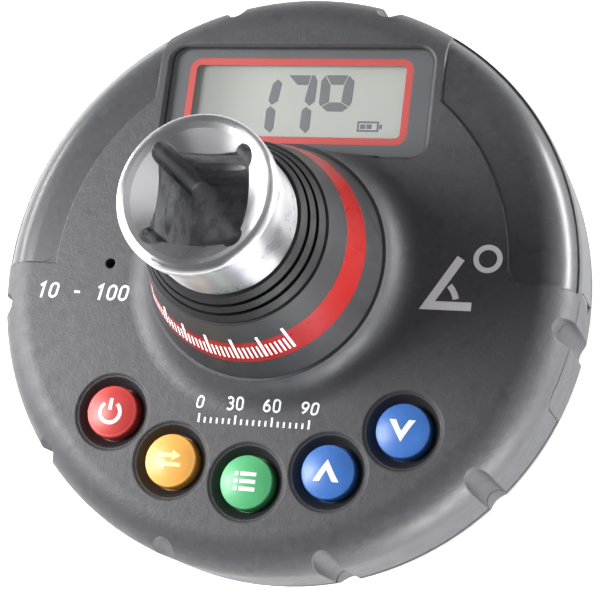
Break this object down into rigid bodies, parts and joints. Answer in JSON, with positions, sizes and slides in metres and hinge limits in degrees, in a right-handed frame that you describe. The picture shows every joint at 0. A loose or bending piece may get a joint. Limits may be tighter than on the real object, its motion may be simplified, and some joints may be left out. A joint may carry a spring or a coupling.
{
  "type": "digital torque adapter",
  "caption": "Round digital torque and angle adapter: display window and coloured push-buttons on a disc housing, conical boss with a chromed drive socket, male square drive at the rear.",
  "frame": {"origin": "on the drive axis at the tip of the male square", "axes": "+Z along the drive axis towards the drive socket, +Y towards the display window, +X to the reader's right when the display is upright"},
  "size_m": [0.0908, 0.0908, 0.076],
  "materials": {
    "chrome_steel": "polished chrome plate",
    "housing_grey": "fine spark-textured moulding",
    "sleeve_black": "satin black moulding",
    "black_rubber": "smooth matt rubber",
    "band_red": "printed band, semi-gloss",
    "clear_window": "clear acrylic",
    "lcd_grey": "reflective liquid crystal cell",
    "board_green": "solder mask",
    "chip_black": "moulded packages",
    "silicone_grey": "translucent silicone",
    "bright_steel": "plated steel",
    "bush_bronze": "sintered bronze",
    "cell_wrap": "plain wrapped cell",
    "foil_amber": "polyimide film",
    "cap_red": "satin moulded cap",
    "cap_yellow": "satin moulded cap",
    "cap_green": "satin moulded cap",
    "cap_blue": "satin moulded cap"
  },
  "bodies": {
    "housing": {"torque_shaft": "chrome_steel", "front_cover": "housing_grey", "rear_cover": "housing_grey", "housing_gasket": "black_rubber", "battery_cell": "cell_wrap", "battery_spring": "bright_steel", "boss_sleeve": "sleeve_black", "red_band": "band_red", "front_seal": "black_rubber", "display_lens": "clear_window", "lcd_glass": "lcd_grey", "lcd_holder": "sleeve_black", "contact_strips": "black_rubber", "circuit_board": "board_green", "board_components": "chip_black", "gyro_sensor": "chip_black", "board_screws": "bright_steel", "buzzer": "chip_black", "keypad_mat": "silicone_grey", "housing_screws": "bright_steel", "flange_screws": "bright_steel", "rear_bush": "bush_bronze", "retaining_ring": "bright_steel", "detent_spring": "bright_steel", "strain_gauges": "foil_amber", "gauge_flex": "foil_amber", "clear_dome": "silicone_grey", "unit_dome": "silicone_grey", "memory_dome": "silicone_grey", "up_dome": "silicone_grey", "down_dome": "silicone_grey"},
    "battery_door": {"battery_cover": "housing_grey", "battery_contact": "bright_steel"},
    "ball": {"detent_ball": "bright_steel"},
    "clear_key": {"clear_button": "cap_red"},
    "unit_key": {"unit_button": "cap_yellow"},
    "memory_key": {"memory_button": "cap_green"},
    "up_key": {"up_button": "cap_blue"},
    "down_key": {"down_button": "cap_blue"}
  },
  "joints": [
    {"name": "clear_press", "type": "slide", "parent": "housing", "child": "clear_key", "axis": [0, 0, -1], "range_m": [0, 0.0009], "stiffness_N_per_m": 1500, "springref_m": -0.0003, "deforming": ["clear_dome"]},
    {"name": "unit_press", "type": "slide", "parent": "housing", "child": "unit_key", "axis": [0, 0, -1], "range_m": [0, 0.0009], "stiffness_N_per_m": 1500, "springref_m": -0.0003, "deforming": ["unit_dome"]},
    {"name": "memory_press", "type": "slide", "parent": "housing", "child": "memory_key", "axis": [0, 0, -1], "range_m": [0, 0.0009], "stiffness_N_per_m": 1500, "springref_m": -0.0003, "deforming": ["memory_dome"]},
    {"name": "up_press", "type": "slide", "parent": "housing", "child": "up_key", "axis": [0, 0, -1], "range_m": [0, 0.0009], "stiffness_N_per_m": 1500, "springref_m": -0.0003, "deforming": ["up_dome"]},
    {"name": "down_press", "type": "slide", "parent": "housing", "child": "down_key", "axis": [0, 0, -1], "range_m": [0, 0.0009], "stiffness_N_per_m": 1500, "springref_m": -0.0003, "deforming": ["down_dome"]},
    {"name": "battery_door_pull", "type": "slide", "parent": "housing", "child": "battery_door", "axis": [0.9806, -0.1959, 0], "range_m": [0, 0.012]},
    {"name": "ball_press", "type": "slide", "parent": "housing", "child": "ball", "axis": [-1, 0, 0], "range_m": [0, 0.001], "stiffness_N_per_m": 4000, "springref_m": -0.0005, "deforming": ["detent_spring"]}
  ]
}
